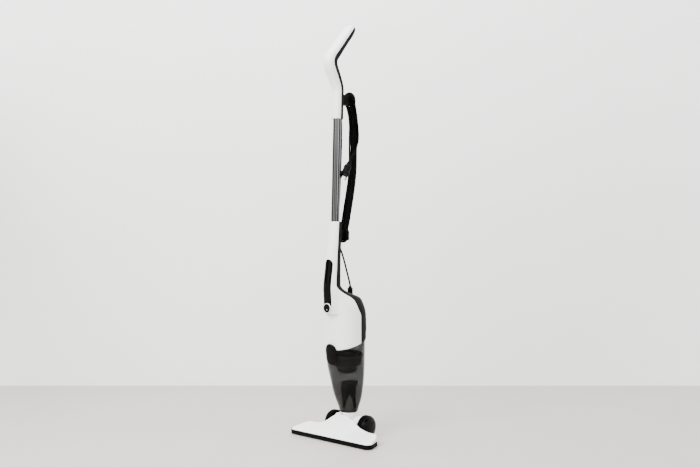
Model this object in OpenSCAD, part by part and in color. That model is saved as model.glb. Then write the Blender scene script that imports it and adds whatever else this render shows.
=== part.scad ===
// Upright stick vacuum cleaner with a cord hank, built as separate pieces.
// Z is up, -Y is the front, the floor is z = 0 and the origin is the middle of the footprint.

/* [Pole and handle] */
// Outer diameter of the metal pole
pole_d = 22; // [20:0.5:23]
// Wall of the metal pole
pole_wall = 1; // [0.8:0.1:1.5]
// Width of the handle grip
grip_w = 30; // [28:1:34]

/* [Body and cup] */
// Outer radius of the lower body
body_r = 54; // [52:0.5:56]
// Wall of the moulded shells
shell_t = 2.4; // [2:0.1:3]
// Travel of the power button
button_travel = 2; // [1:0.5:3]
// Diameter of the power button
button_d = 22; // [18:1:23]

/* [Floor head] */
// Width of the floor head without its bumper
head_w = 276; // [250:2:284]
// Diameter of each wheel
wheel_d = 62; // [58:1:62]
// Width of each wheel
wheel_w = 20; // [16:1:22]
// Diameter of the wheel axles
axle_d = 6; // [5:0.5:7]

/* [Cord] */
// Diameter of the mains cord
cord_d = 5; // [4.5:0.5:5.5]

/* [Hidden] */
$fn = 64;
y0 = 11.31;              // the cup and motor axis stands this far behind the origin
e = 0.01;
wheel_y = 20; wheel_z = wheel_d/2;   // tilt and wheel axis, from the motor axis

module at() translate([0, y0, 0]) children();

// ---------- shared lofting ----------
function sp(v, p) = sign(v)*pow(abs(v), p);
// one point of a superellipse, t = 0 at the front, turning towards +X
function sup(hw, hd, t, ex) = [hw*sp(sin(t), 2/ex), -hd*sp(cos(t), 2/ex)];
// closed skin between an outer and an inner grid of points; wrap joins the last column to the first
module skin(o, i, wrap = false) {
  m = len(o); n = len(o[0]); nn = wrap ? n : n - 1; q = m*n;
  pts = concat([for (r = o) each r], [for (r = i) each r]);
  f = concat(
    [for (k = [0:m-2], j = [0:nn-1]) each let (a = k*n+j, b = k*n+(j+1)%n, c = b+n, d = a+n) [[a,d,c],[a,c,b]]],
    [for (k = [0:m-2], j = [0:nn-1]) each let (a = q+k*n+j, b = q+k*n+(j+1)%n, c = b+n, d = a+n) [[a,c,d],[a,b,c]]],
    [for (j = [0:nn-1]) each let (a = j, b = (j+1)%n) [[a,b,b+q],[a,b+q,a+q]]],
    [for (j = [0:nn-1]) each let (a = (m-1)*n+j, b = (m-1)*n+(j+1)%n) [[a,b+q,b],[a,a+q,b+q]]],
    wrap ? [] : [for (k = [0:m-2]) each let (a = k*n, d = a+n) [[a,a+q,d+q],[a,d+q,d]]],
    wrap ? [] : [for (k = [0:m-2]) each let (a = k*n+n-1, d = a+n) [[a,d+q,a+q],[a,d,d+q]]]);
  polyhedron(pts, f);
}
// solid through rings of points with flat fan ends
module tube_skin(rings) {
  m = len(rings); n = len(rings[0]);
  pts = [for (r = rings) each r];
  f = concat(
    [for (k = [0:m-2], j = [0:n-1]) each let (a = k*n+j, b = k*n+(j+1)%n, c = b+n, d = a+n) [[a,d,c],[a,c,b]]],
    [for (j = [1:n-2]) [0,j,j+1]],
    [for (j = [1:n-2]) [(m-1)*n,(m-1)*n+j+1,(m-1)*n+j]]);
  polyhedron(pts, f);
}

// ---------- main body outline ----------
bw = [[230,body_r],[325,body_r],[340,53],[352,51],[364,47],[376,40],[386,32],[396,25.5],[406,21.5],[450,19.8],[505,18.6],[575,17.6]];
bf = [[230,-54],[325,-54.5],[345,-56],[364,-59],[384,-65],[404,-74.5],[450,-68.5],[505,-62],[550,-56],[575,-53.5]];
br = [[230,54],[322,54],[336,52],[350,47],[360,43.5],[366,41],[371,37],[376,26],[381,11],[387,-6],[396,-23],[406,-29.6],[450,-29.4],[490,-28.6],[515,-26.8],[575,-26]];
spd = [[230,0],[328,0],[332,12.5],[347,14.5],[364,12.5],[384,8],[404,0],[575,0]];   // front spine that carries the button
slope = [[230,0.29],[256,0.29],[318,0],[600,0]];
function body_y(x, z, ins) = let (f = lookup(z,bf)+ins, r = lookup(z,br)-ins, w = lookup(z,bw)-ins, c = (f+r)/2, h = (r-f)/2)
  c - h*pow(max(0, 1 - pow(min(1,abs(x)/w), 2.2)), 1/2.2) - lookup(z,spd)/(1+pow(abs(x)/17.5, 8));
function body_pt(t, z, ins) = let (f = lookup(z,bf)+ins, r = lookup(z,br)-ins, w = lookup(z,bw)-ins, c = (f+r)/2, h = (r-f)/2,
  s = sup(w, h, t, 2.2), y = c + s[1] - (cos(t) > 0 ? lookup(z,spd)/(1+pow(abs(s[0])/(17.5-ins), 8)) : 0),
  zz = z + lookup(z,slope)*y) [s[0], y, zz];
bz = [252.5,262,275,290,305,318,328,331,334,346,356,364,371,376,381,387,396,404,412,430,450,475,505,535,560,572];
// the parting line runs a little forward of the middle on the neck
pt_t = [[230,92],[322,92],[345,87],[366,84],[381,80],[410,77],[600,77]];
function part_at(z) = lookup(z, pt_t);
module body_half(front, n) {
  skin([for (z = bz) let (a = front ? -part_at(z) : part_at(z), b = front ? part_at(z) : 360-part_at(z)) [for (j = [0:n]) body_pt(a+(b-a)*j/n, z, 0)]],
       [for (z = bz) let (a = front ? -part_at(z) : part_at(z), b = front ? part_at(z) : 360-part_at(z)) [for (j = [0:n]) body_pt(a+(b-a)*j/n, z, shell_t)]]);
}

// ---------- floor head ----------
hw2 = head_w/2;
// plan outline of the head grown by o: straight front, rounded front corners, sides that taper to the rear
function head_plan(o) = let (r = 14) concat(
  [for (a = [0:15:90]) [-hw2+r-(r+o)*cos(a), -70+r-(r+o)*sin(a)]],
  [for (a = [0:15:90]) [hw2-r+(r+o)*sin(a), -70+r-(r+o)*cos(a)]],
  [[hw2-10+o, -27], [hw2-12.4+o, -20.6], [hw2-16+o, -15.6], [hw2-22+o, -12+o], [-hw2+22-o, -12+o], [-hw2+16-o, -15.6], [-hw2+12.4-o, -20.6], [-hw2+10-o, -27]]);
module head_outline(o, z0, h) at() translate([0,0,z0]) linear_extrude(h) polygon(head_plan(o));
// side profile of the wings, lowered by g
function wing(g) = [[-70,0],[-70,12-g],[-67,14.2-g],[-56,18-g],[-40,22-g],[-25,25.5-g],[-12,28-g],[-12,0]];
// hump sections: y, half width at the foot, half width on top, height on top
hs_n = [[-61,34,26,17,17],[-44,44,29,27.5,24.2],[-28,54,26,43,29.4],[-12,64,22,60,35]];   // the last is the height at the foot
module hump_slice(q, g) translate([0,q[0],0]) rotate([90,0,0]) linear_extrude(0.02)
  let (w = lookup(q[0],[[-61,15.5],[-44,20],[-28,23.7],[-12,27]])) polygon([[-q[1]-28+g,6],[q[1]+28-g,6],[q[1]+28-g,w-g],[q[1]-g,q[4]-g],[q[2]-g,q[3]-g],[-q[2]+g,q[3]-g],[-q[1]+g,q[4]-g],[-q[1]-28+g,w-g]]);
module head_solid(g) intersection() {
  translate([0,0,8.5-g]) linear_extrude(80) polygon(head_plan(-g));
  union() {
    translate([-140,0,0]) rotate([90,0,90]) linear_extrude(280) polygon(wing(g));
    for (k = [0:2]) hull() { hump_slice(hs_n[k], g); hump_slice(hs_n[k+1], g); }
  }
}
module head_top_shell() color("white") at() difference() {
  head_solid(0);
  head_solid(shell_t);
  translate([0,-20,wheel_z]) rotate([-90,0,0]) cylinder(d = 33, h = 14);
}
module head_base_plate() color("#1d1d1f") at() difference() {
  union() {
    translate([0,0,3.5]) linear_extrude(5) polygon(head_plan(-0.6));
    translate([-42,-13,3.5]) cube([84,40,2.5]);
  }
  translate([-100,-54,-1]) cube([200,20,20]);
  for (x = [-110,-60,60,110]) translate([x,-24,-1]) cylinder(d = 3, h = 12);
}
module bumper_strip() color("#161617") at() difference() {
  translate([0,0,2.2]) linear_extrude(6.2) polygon(head_plan(2));
  translate([0,0,0]) linear_extrude(20) polygon(head_plan(-0.6));
  translate([-200,-22,-1]) cube([400,60,30]);
}
module bumper_lip() color("#202022") at() difference() {
  translate([0,0,8.5]) linear_extrude(4.3) polygon(head_plan(2));
  translate([0,0,0]) linear_extrude(20) polygon(head_plan(0.15));
  translate([-200,-22,-1]) cube([400,60,30]);
}
module brush_strips() color("#3a3a3d") at() for (y = [-32,-59]) translate([-96,y,0.3]) cube([192,2.4,3.2]);
module suction_channel() color("#2a2a2c") at() difference() {
  union() {
    translate([-103,-57,8.5]) cube([206,26,3]);
    hull() { translate([-20,-50,8.5]) cube([40,22,8]); translate([0,-20,wheel_z]) rotate([-90,0,0]) cylinder(d = 32, h = 1, $fn = 32); }
    translate([0,-20,wheel_z]) rotate([-90,0,0]) cylinder(d = 32, h = 12);
  }
  translate([-100,-54,5]) cube([200,20,4.5]);
  hull() { translate([-16,-47,8]) cube([32,16,6]); translate([0,-20,wheel_z]) rotate([-90,0,0]) cylinder(d = 27, h = 1, $fn = 32); }
  translate([0,-21,wheel_z]) rotate([-90,0,0]) cylinder(d = 27, h = 40);
}
module glide_pads() color("#8d8d90") at() for (x = [-100,100]) translate([x,-62.5,0]) cylinder(r = 2.2, h = 3.5);
module pivot_cheeks() color("white") at() difference() {
  for (s = [-1,1]) translate([s*34.5-8.5,0,0]) rotate([90,0,90]) linear_extrude(17)
    polygon(concat([[-11.8,6],[-11.8,35],[-4,43.5],[5,51.5],[9,54.8]], [for (a = [90:-10:-0]) [16+21*cos(a), 36+21*sin(a)]], [[37,14],[30,6]]));
  translate([-60,wheel_y,wheel_z]) rotate([0,90,0]) cylinder(d = axle_d, h = 120);
}
module wheel_axles() color("#a9abae") at() for (s = [-1,1]) translate([s*41.5-24.5,wheel_y,wheel_z]) rotate([0,90,0]) cylinder(d = axle_d, h = 49);
module wheel_hub(s) at() translate([s*48,wheel_y,wheel_z]) rotate([0,s*90,0]) difference() {
  union() { cylinder(r = wheel_d/2-5, h = wheel_w-4); cylinder(r = 9, h = wheel_w-1.5); }
  translate([0,0,-1]) cylinder(d = axle_d+0.12, h = wheel_w+5);
}
module wheel_tyre(s) at() translate([s*48,wheel_y,wheel_z]) rotate([0,s*90,0]) rotate_extrude($fn = 96)
  polygon([[wheel_d/2-5,0],[wheel_d/2-1.5,0],[wheel_d/2,1.5],[wheel_d/2,wheel_w-6],[wheel_d/2-1.5,wheel_w-4],[wheel_d/2-5,wheel_w-4]]);
module wheel_cap(s) at() translate([s*(48+wheel_w-4),wheel_y,wheel_z]) rotate([0,s*90,0]) difference() {
  rotate_extrude($fn = 96) polygon([[9.2,0],[wheel_d/2-2,0],[wheel_d/2-3,2],[wheel_d/2-7,4.2],[20,6],[12,7.6],[0,8.4],[0,4.2],[9.2,4.2]]);
}
module left_wheel() color("#2b2b2d") wheel_hub(-1);
module right_wheel() color("#2b2b2d") wheel_hub(1);
module left_tyre() color("#131314") wheel_tyre(-1);
module right_tyre() color("#131314") wheel_tyre(1);
module left_wheel_cap() color("#1f1f21") wheel_cap(-1);
module right_wheel_cap() color("#1f1f21") wheel_cap(1);

// ---------- tilting neck ----------
module neck_elbow() color("white") at() difference() {
  union() {
    translate([-24,wheel_y,wheel_z]) rotate([0,90,0]) cylinder(r = 23, h = 48, $fn = 96);
    translate([0,14,52]) cylinder(r = 23, h = 14, $fn = 96);
    translate([0,14,40]) cylinder(r1 = 15.5, r2 = 23, h = 12, $fn = 96);
    translate([0,14,60]) cylinder(r = 16.4, h = 28);
  }
  translate([0,14,wheel_z]) cylinder(r = 13.5, h = 80);
  translate([0,wheel_y+1,wheel_z]) rotate([90,0,0]) cylinder(r = 13.5, h = 60);
  for (s = [-1,1]) translate([s*24.5-8,wheel_y,wheel_z]) rotate([0,90,0]) cylinder(d = axle_d+0.1, h = 16);
}
module neck_seal() color("#151516") at() translate([0,14,66]) difference() { cylinder(r = 22.6, h = 2); translate([0,0,-1]) cylinder(r = 19.5, h = 4); }

// ---------- dust cup ----------
cup_r = [[66,24.6],[76,26.5],[84,29],[98,34],[121,39.6],[161,46],[196,50],[240,52.8],[300,53.4]];
cup_c = [[66,14.5],[84,14.6],[98,13.6],[121,11],[161,7.6],[196,3.6],[240,0.3],[300,0]];
function cup_pt(t, z, ins, sl) = let (r = lookup(z,cup_r)-ins, c = lookup(z,cup_c), y = c - r*cos(t)) [r*sin(t), y, z + sl*y];
cz = [68,72,78,84,91,98,109,121,140,161,180,196,215,232,250.8];
module dust_cup() color([0.25,0.26,0.28,0.55]) at()
  skin([for (k = [0:len(cz)-1]) [for (j = [0:47]) cup_pt(j*7.5, cz[k], 0, k < 9 ? 0 : 0.29*(k-8)/6)]],
       [for (k = [0:len(cz)-1]) [for (j = [0:47]) let (z = k == 0 ? 68 : k == 1 ? 71.6 : cz[k])
          k < 2 ? [19.3*sin(j*7.5), 14-19.3*cos(j*7.5), z] : cup_pt(j*7.5, z, 2, k < 9 ? 0 : 0.29*(k-8)/6)]], true);
// the duct: an inner pipe, and a hood round it with an arch cut into each side
module inlet_duct() color("#2c2c2e") at() difference() {
  union() {
    translate([0,14,66.2]) cylinder(r = 17.8, h = 76.8);
    translate([0,14,66.2]) cylinder(r = 19.2, h = 10);
    difference() {
      translate([0,14,76]) cylinder(r = 19.2, h = 67);
      for (s = [-1,1]) translate([0,14,0]) rotate([0,0,s*50]) difference() {
        rotate([90,0,0]) linear_extrude(24) polygon([[-12.5,76.2],[-10.5,88],[-6,102],[-1.5,114],[1.5,114],[6,102],[10.5,88],[12.5,76.2]]);
        translate([0,0,60]) cylinder(r = 17.8, h = 90);
      }
    }
    for (k = [-1,1]) translate([k*10.4-0.9,28,134]) cube([1.8,10.2,12.6]);
  }
  translate([0,14,60]) cylinder(r = 16.55, h = 100);
  translate([-20,flap_y,flap_z]) rotate([0,90,0]) cylinder(r = 1, h = 40);
}
// the flap lies on the mouth and hinges behind its rear edge
flap_y = 35.4; flap_z = 144.3;
module duct_flap() color("#111112") at() translate([0,flap_y,flap_z]) difference() {
  union() {
    translate([0,-21.4,-0.9]) cylinder(r = 18.7, h = 1.8);
    rotate([0,90,0]) translate([0,0,-9]) cylinder(r = 1.8, h = 18);
    translate([-9,-8,-0.9]) cube([18,8,1.8]);
  }
  for (s = [-1,1]) translate([s*14.2-5,-8.8,-3]) cube([10,20,6]);
  rotate([0,90,0]) translate([0,0,-20]) cylinder(r = 1.05, h = 40);
}
module flap_pin() color("#b7b9bc") at() translate([-11,flap_y,flap_z]) rotate([0,90,0]) cylinder(r = 1, h = 22);

// ---------- filter ----------
module filter_frame() color("#5c5d60") at() translate([0,5,192]) difference() {
  union() { cylinder(r = 39.5, h = 24); translate([0,-1,24]) cylinder(r = 46.5, h = 1.6); }
  translate([0,0,-1]) cylinder(r = 37, h = 23.4);
  translate([0,0,-1]) cylinder(r = 30, h = 40);
}
module filter_cartridge() color("#8f9092") at() translate([0,5.5,179.2]) difference() {
  rotate_extrude() polygon([[20,0],[25.6,0],[33,35],[29,35]]);
}
// rounded closed end of the filter
module filter_cap() color("#141415") at() translate([0,5.5,168]) rotate_extrude() polygon([[0,0],[9,0.5],[16,2],[21.5,4.6],[25,7.8],[26.4,11.1],[0,11.1]]);
module cup_seal() color("#101011") at() translate([0,5,217.7]) difference() { cylinder(r = 40.5, h = 8.5); translate([0,0,-1]) cylinder(r = 34, h = 12); }

// ---------- motor ----------
module motor_plate() color("#3a3a3d") at() translate([0,0,272]) difference() { cylinder(r = 50, h = 3); translate([0,0,-1]) cylinder(r = 20, h = 6); }
module motor_mount_ring() color("#202022") at() translate([0,0,275.1]) difference() { cylinder(r = 44, h = 5.8); translate([0,0,-1]) cylinder(r = 38, h = 10); }
module fan_cover() color("#b9bbbe") at() translate([0,0,281]) difference() {
  cylinder(r = 43, h = 19);
  translate([0,0,1.2]) cylinder(r = 41.6, h = 20);
  translate([0,0,-1]) cylinder(r = 15, h = 6);
}
module fan_wheel() color("#d5d6d8") at() translate([0,0,285]) difference() {
  union() {
    cylinder(r = 38, h = 1);
    for (k = [0:11]) rotate([0,0,k*30]) translate([12,-0.5,1]) cube([25,1,8]);
    cylinder(r = 7, h = 9);
  }
  translate([0,0,-1]) cylinder(r = 3, h = 20);
}
module motor_shaft() color("#c9cbce") at() translate([0,0,283.5]) cylinder(r = 3, h = 75);
module motor_rotor() color("#8a5a32") at() translate([0,0,306]) difference() { cylinder(r = 16, h = 38); translate([0,0,-1]) cylinder(r = 3, h = 50); }
module motor_stator() color("#5d6064") at() translate([0,0,300.1]) difference() { union() { cylinder(r = 34, h = 48); cylinder(r = 41, h = 4); } translate([0,0,-1]) cylinder(r = 17, h = 60); }
module motor_end_frame() color("#9fa2a6") at() translate([0,0,348.2]) difference() { union() { cylinder(r = 30, h = 3); cylinder(r = 9, h = 8); } translate([0,0,-1]) cylinder(r = 3.05, h = 12); for (k = [0:5]) rotate([0,0,k*60]) translate([20,0,-1]) cylinder(r = 5, h = 6); }

// ---------- body shells and trim ----------
module body_front_shell() color("white") at() difference() {
  body_half(true, 44);
  translate([0,-60,btn_z]) rotate([90,0,0]) cylinder(d = button_d+0.8, h = 30);
}
module body_rear_shell() color("#2b2c2f") at() body_half(false, 28);
// slatted exhaust panel that follows the rear shell on the right side, and its twin on the left
module vent_panel(t0, t1, z0, z1, o, h) {
  n = 9; m = 6;
  skin([for (k = [0:m]) [for (j = [0:n]) body_pt(t0+(t1-t0)*j/n, z0+(z1-z0)*k/m, -h)]],
       [for (k = [0:m]) [for (j = [0:n]) body_pt(t0+(t1-t0)*j/n, z0+(z1-z0)*k/m, o)]]);
}
module vent_grille() color("#121213") at() for (k = [0:5]) { vent_panel(92+176*3/28, 92+176*12/28, 276+k*7, 280+k*7, -0.06, 1.2); vent_panel(92+176*16/28, 92+176*25/28, 276+k*7, 280+k*7, -0.06, 1.2); }
module exhaust_filter() color("#d9dadb") at() difference() {
  translate([0,0,284]) cylinder(r = 49.6, h = 30);
  translate([0,0,280]) cylinder(r = 46.4, h = 40);
  translate([-60,-60,280]) cube([120,72,40]);
}
// capsule inlay that lies on the front of the neck
in_w = 13.4; in_z1 = 474;
function in_lo(x) = btn_z + sqrt(max(4, pow(button_d/2+2.6,2) - x*x));
function in_hi(x) = in_z1 - in_w + sqrt(max(0, in_w*in_w - x*x));
module control_inlay() color("#0e0e0f") at()
  skin([for (k = [0:24]) [for (j = [-7:7]) let (x = (in_w-0.1)*sin(j*90/7), z = in_lo(x)+(in_hi(x)-in_lo(x))*k/24) [x, body_y(x,z,0)-1.0, z]]],
       [for (k = [0:24]) [for (j = [-7:7]) let (x = (in_w-0.1)*sin(j*90/7), z = in_lo(x)+(in_hi(x)-in_lo(x))*k/24) [x, body_y(x,z,0)-0.28, z]]]);
btn_z = 347;
module button_ring() color("#c4c6c8") at() translate([0,-71.45,btn_z]) rotate([90,0,0]) difference() { cylinder(d = button_d+4.6, h = 1.3); translate([0,0,-1]) cylinder(d = button_d+0.8, h = 6); }
module power_button() color("#0e0e0f") at() translate([0,-65.5,btn_z]) rotate([90,0,0]) cylinder(d = button_d, h = 5.9+button_travel);
module switch_block() color("#26272a") at() translate([-7,-62.8,btn_z-8]) cube([14,14,16]);
// cup latch: a capsule that hinges on a pin at its upper end
la = 8;
module latch_frame() at() translate([0,-57,241]) rotate([la,0,0]) children();
module cup_latch() color("#0d0d0e") latch_frame() difference() {
  union() {
    intersection() {
      translate([0,20,0]) rotate([90,0,0]) linear_extrude(60) union() { translate([0,-4.8]) circle(r = 17.5); translate([-17.5,-26]) square([35,21.2]); translate([0,-26]) circle(r = 17.5); }
      translate([0,53.9,-60]) difference() { cylinder(r = 58.6, h = 90, $fn = 160); translate([0,0,-1]) cylinder(r = 54.8, h = 92, $fn = 160); translate([-70,0,-1]) cube([140,70,92]); }
    }
    for (s = [-1,1]) translate([s*9.4-1.9,0,0]) rotate([0,90,0]) cylinder(r = 2.5, h = 3.8);
    for (s = [-1,1]) translate([s*9.4-1.9,-3,-2.5]) cube([3.8,3,5]);
  }
  translate([-7.3,0,0]) rotate([0,90,0]) cylinder(r = 2.6, h = 14.6);
  translate([-7.3,0,-2.6]) cube([14.6,4,5.2]);
  translate([-12,0,0]) rotate([0,90,0]) cylinder(r = 1.2, h = 24);
}
module latch_pin() color("#b7b9bc") latch_frame() translate([-11.3,0,0]) rotate([0,90,0]) cylinder(r = 1.15, h = 22.6);
module latch_mount() color("white") at() translate([0,-57,241]) difference() {
  union() { rotate([0,90,0]) translate([0,0,-7]) cylinder(r = 2.2, h = 14); translate([-7,0,-2.2]) cube([14,2.6,4.4]); }
  translate([-12,0,0]) rotate([0,90,0]) cylinder(r = 1.25, h = 24);
}

// ---------- pole and handle ----------
pole_y0 = -40; pole_a = 1.8;     // the pole leans back by this angle
module pole() color("#b4b6b8") at() translate([0,pole_y0,572]) rotate([-pole_a,0,0]) translate([0,0,-38]) difference() {
  cylinder(d = pole_d, h = 358); translate([0,0,-1]) cylinder(d = pole_d-2*pole_wall, h = 360);
}
// stations along the handle: y, z, lean, half width, half depth
hs = [[-31.8,842,1.8,14.5,14.2],[-30.5,880,1.8,14.5,14.2],[-29.4,914,1.8,14.6,14.4],[-31.5,928,-13,14.8,15.2],[-38.5,944,-27,15.2,15.8],[-48.5,962,-28,15.8,16.8],[-56.5,977,-14,16.2,17.8],[-58.8,988,8,16.4,18],[-55,1000,30,16.4,17.2],[-44,1013,39,16.3,16],[-26,1034,40.5,16.3,14.8],[-8,1055,40.5,16,14.2],[6.5,1071,40,15.6,13.8],[17.5,1084,39,14.8,12.8],[23.2,1091,38,12.8,10.6],[26.2,1094.6,38,9.4,7.6],[27.8,1096.6,38,5.4,4.4],[28.4,1097.3,38,1.4,1.2]];
function h_pt(s, t, ins) = let (b = ins*max(0, min(1, (s[1]-1080)/12)), p = sup(max(0.5,s[3]-ins), max(0.5,s[4]-ins), t, 2.7)) [p[0], s[0]+p[1]*cos(s[2])-b*sin(s[2]), s[1]-p[1]*sin(s[2])-b*cos(s[2])];
h_t = 86;
module handle_half(t0, t1, n) skin([for (s = hs) [for (j = [0:n]) h_pt(s, t0+(t1-t0)*j/n, 0)]], [for (s = hs) [for (j = [0:n]) h_pt(s, t0+(t1-t0)*j/n, 2)]]);
module handle_front_shell() color("white") at() handle_half(-h_t, h_t, 22);
module handle_rear_shell() color("#2a2b2d") at() handle_half(h_t, 360-h_t, 22);

// ---------- cord hooks ----------
module hook(w, d, h) {          // a tongue that reaches back with a raised tip
  difference() {
    union() { translate([-w/2,0,-h]) cube([w,d,h]); translate([0,0,0]) rotate([-90,0,0]) cylinder(d = w, h = d); translate([-w/2,d-4,0]) cube([w,4,w/2+5]); }
    translate([-w/2+3,-1,-h+3]) cube([w-6,d-4,h-6]);
  }
}
module upper_cord_hook() color("#141415") at() translate([0,-14.7,899]) hook(17, 43.5, 18);
module lower_cord_hook() color("#141415") at() translate([0,-26.2,536]) rotate([0,180,0]) hook(17, 33, 14);
module hook_screws() color("#9b9da0") at() { for (z = [884]) translate([0,28.9,z]) rotate([-90,0,0]) cylinder(r = 3, h = 1.6); for (z = [547]) translate([0,6.9,z]) rotate([-90,0,0]) cylinder(r = 3, h = 1.6); }

// ---------- cord ----------
gz = [328,331,334,346,356,364,371,376,381,387,396,404];
module cord_gland() color("#131314") at() difference() {
  translate([0,20,360]) union() { cylinder(r = 7.4, h = 35.5); translate([0,0,35.5]) cylinder(r1 = 6.4, r2 = 3.4, h = 4.5); }
  tube_skin([for (z = gz) let (a = part_at(z)) [for (j = [0:55]) body_pt(j <= 28 ? a+(360-2*a)*j/28 : 360-a+2*a*(j-28)/28, z, -0.1)]]);
}
route = [[0,20,400],[-0.4,18.6,409],[-1.6,14.5,424],[-3.6,8.5,446],[-6,2,470],[-8.5,-6,494],[-11,-15,512],[-13,-22,526],[-13.5,-24,540],[-12,-23,556],[-10,-20,578],[-8,-17,610],[-7,-14,660],[-7,-11,710],[-7,-8,770],[-8,-6,820],[-10,-4.5,850],[-13,-3,872],[-15,0,886],[-15.4,4,892],[-15.4,7.9,893]];
function unit(v) = v/norm(v);
function dir(k) = unit(route[min(k+1,len(route)-1)] - route[max(k-1,0)]);
function ring3(c, d, r, n) = let (a = unit(cross([1,0,0], d)), b = cross(d, a)) [for (j = [0:n-1]) c + r*cos(j*360/n)*a + r*sin(j*360/n)*b];
module power_cord() color("#18181a") at() tube_skin([for (k = [0:len(route)-1]) ring3(route[k], k == 0 ? [0,0,1] : k == len(route)-1 ? [0,1,0] : dir(k), cord_d/2, 8)]);
module cord_hank() color("#18181a") at() union() {
  difference() {
    translate([0,8,897]) rotate([-90,0,0]) cylinder(r = 19, h = 14);
    translate([0,7,899]) rotate([-90,0,0]) cylinder(r = 9, h = 16);
    translate([-9,7,860]) cube([18,16,39]);
  }
  for (s = [-1,1]) translate([s*12.7-3.7,0,0]) rotate([90,0,90]) linear_extrude(7.4) polygon([[8,897],[22,897],[36.5,862],[22.5,862]]);
  translate([-7.5,0,0]) rotate([90,0,90]) linear_extrude(15) polygon([[24,876],[30.5,876],[36.5,862],[39.5,848],[39.5,712],[7,562],[-7,562],[25.5,712],[25.5,848],[22.5,862]]);
  for (s = [-1,1]) translate([s*12.7-3.7,0,0]) rotate([90,0,90]) linear_extrude(7.4) polygon([[11.3,582],[-2.7,582],[-17,538],[-3,538]]);
  translate([-12,0,0]) rotate([90,0,90]) linear_extrude(24) polygon([[22.5,862],[36.5,862],[32.2,874],[18.2,874]]);
  translate([-12,0,0]) rotate([90,0,90]) linear_extrude(24) polygon([[-7,563],[7,563],[10.5,578],[-3.7,578]]);
  difference() {
    translate([0,-17,538]) rotate([-90,0,0]) cylinder(r = 19, h = 14);
    translate([0,-18,536]) rotate([-90,0,0]) cylinder(r = 9, h = 16);
    translate([-9,-18,536]) cube([18,16,36]);
  }
}
module plug_frame() at() translate([9,-4,711]) rotate([-30,0,0]) children();
module plug_body() color("#151516") plug_frame() union() {
  translate([0,0,-17]) cylinder(r = 12, h = 7);
  translate([0,0,-10]) cylinder(r = 10.5, h = 20);
  translate([0,0,10]) cylinder(r1 = 9, r2 = 4, h = 18);
}
module plug_pins() color("#c9a15a") plug_frame() for (s = [-1,1]) translate([s*9.2-0,0,-35]) cylinder(r = 2.4, h = 18);

head_top_shell();
head_base_plate();
bumper_strip();
bumper_lip();
brush_strips();
suction_channel();
glide_pads();
pivot_cheeks();
wheel_axles();
left_wheel();
left_tyre();
left_wheel_cap();
right_wheel();
right_tyre();
right_wheel_cap();
neck_elbow();
neck_seal();
dust_cup();
inlet_duct();
duct_flap();
flap_pin();
filter_frame();
filter_cartridge();
filter_cap();
cup_seal();
motor_plate();
motor_mount_ring();
fan_cover();
fan_wheel();
motor_shaft();
motor_rotor();
motor_stator();
motor_end_frame();
body_front_shell();
body_rear_shell();
vent_grille();
exhaust_filter();
control_inlay();
button_ring();
power_button();
switch_block();
cup_latch();
latch_pin();
latch_mount();
pole();
handle_front_shell();
handle_rear_shell();
upper_cord_hook();
lower_cord_hook();
hook_screws();
cord_gland();
power_cord();
cord_hank();
plug_body();
plug_pins();
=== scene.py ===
import bpy, bmesh, math, random
import numpy as np
from mathutils import Vector, Matrix


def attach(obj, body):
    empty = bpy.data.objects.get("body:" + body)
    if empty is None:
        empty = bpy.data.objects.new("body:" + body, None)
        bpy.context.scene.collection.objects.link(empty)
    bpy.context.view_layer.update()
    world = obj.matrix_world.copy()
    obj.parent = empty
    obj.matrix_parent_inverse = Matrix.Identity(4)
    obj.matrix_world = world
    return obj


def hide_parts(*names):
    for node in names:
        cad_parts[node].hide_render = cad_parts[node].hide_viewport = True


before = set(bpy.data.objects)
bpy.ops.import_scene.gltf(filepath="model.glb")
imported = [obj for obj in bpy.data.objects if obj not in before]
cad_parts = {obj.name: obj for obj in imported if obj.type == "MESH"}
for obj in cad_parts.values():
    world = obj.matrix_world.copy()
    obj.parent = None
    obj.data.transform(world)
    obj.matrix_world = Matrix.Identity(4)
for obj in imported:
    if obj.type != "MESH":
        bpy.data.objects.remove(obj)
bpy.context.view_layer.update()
random.seed(4)
Y0 = 11.31                       # mm from the origin back to the cup axis
cos, sin, rad = math.cos, math.sin, math.radians
sc = bpy.context.scene


def P(x, y, z):
    return (x / 1000.0, (y + Y0) / 1000.0, z / 1000.0)


# ------------------------------------------------------------------ camera
AZ = rad(41)
cam_d = bpy.data.cameras.new("camera")
cam = bpy.data.objects.new("camera", cam_d)
sc.collection.objects.link(cam)
cam.location = (2.2 * sin(AZ) + 0.0128 * cos(AZ), Y0 / 1000 - 2.2 * cos(AZ) + 0.0128 * sin(AZ), 0.541)
cam.rotation_euler = (rad(90), 0, AZ)
cam_d.sensor_width = 36.0
cam_d.lens = 827 * 36.0 / 700
cam_d.clip_start = 0.05
cam_d.clip_end = 30
sc.camera = cam

# ------------------------------------------------------------------ helpers


def pchip(xs, ys):
    """Smooth monotone curve through a table."""
    x = np.array(xs, float); y = np.array(ys, float)
    h = np.diff(x); d = np.diff(y) / h
    m = np.zeros(len(x))
    m[0], m[-1] = d[0], d[-1]
    for i in range(1, len(x) - 1):
        if d[i - 1] * d[i] <= 0:
            m[i] = 0
        else:
            w1 = 2 * h[i] + h[i - 1]; w2 = h[i] + 2 * h[i - 1]
            m[i] = (w1 + w2) / (w1 / d[i - 1] + w2 / d[i])

    def f(t):
        t = min(max(t, x[0]), x[-1])
        i = min(int(np.searchsorted(x, t, side="right")) - 1, len(x) - 2)
        i = max(i, 0)
        s = (t - x[i]) / h[i]
        return float((2 * s**3 - 3 * s**2 + 1) * y[i] + (s**3 - 2 * s**2 + s) * h[i] * m[i]
                     + (-2 * s**3 + 3 * s**2) * y[i + 1] + (s**3 - s**2) * h[i] * m[i + 1])
    return f


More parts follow.
